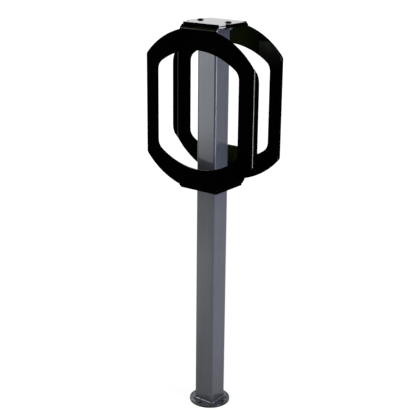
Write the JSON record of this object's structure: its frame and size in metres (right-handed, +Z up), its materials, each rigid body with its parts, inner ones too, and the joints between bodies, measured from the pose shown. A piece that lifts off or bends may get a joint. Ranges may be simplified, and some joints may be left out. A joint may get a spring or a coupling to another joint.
{
  "type": "bike rack",
  "caption": "Upright bike rack: a square post on a round bolt-down foot, with formed plate rings bolted round its upper end for leaning and locking bicycles.",
  "frame": {"origin": "centre of the foot's underside, on the post's axis at floor level", "axes": "+Z up along the post, X along the width of the rings, the front ring on the -Y side"},
  "size_m": [0.307, 0.122, 0.926],
  "materials": {
    "post_grey": "semi-gloss grey powder coat",
    "ring_black": "gloss black powder coat",
    "dark_steel": "blackened steel"
  },
  "bodies": {
    "root": {"post_tube": "post_grey", "base_flange": "post_grey", "base_weld": "post_grey", "post_top_plate": "post_grey", "top_plate_weld": "post_grey", "front_ring": "ring_black", "rear_ring": "ring_black", "top_bolt_left": "dark_steel", "top_bolt_right": "dark_steel", "lower_bolt_left": "dark_steel", "lower_bolt_right": "dark_steel", "lower_washer_left": "dark_steel", "lower_washer_right": "dark_steel", "lower_nut_left": "dark_steel", "lower_nut_right": "dark_steel"}
  },
  "joints": []
}
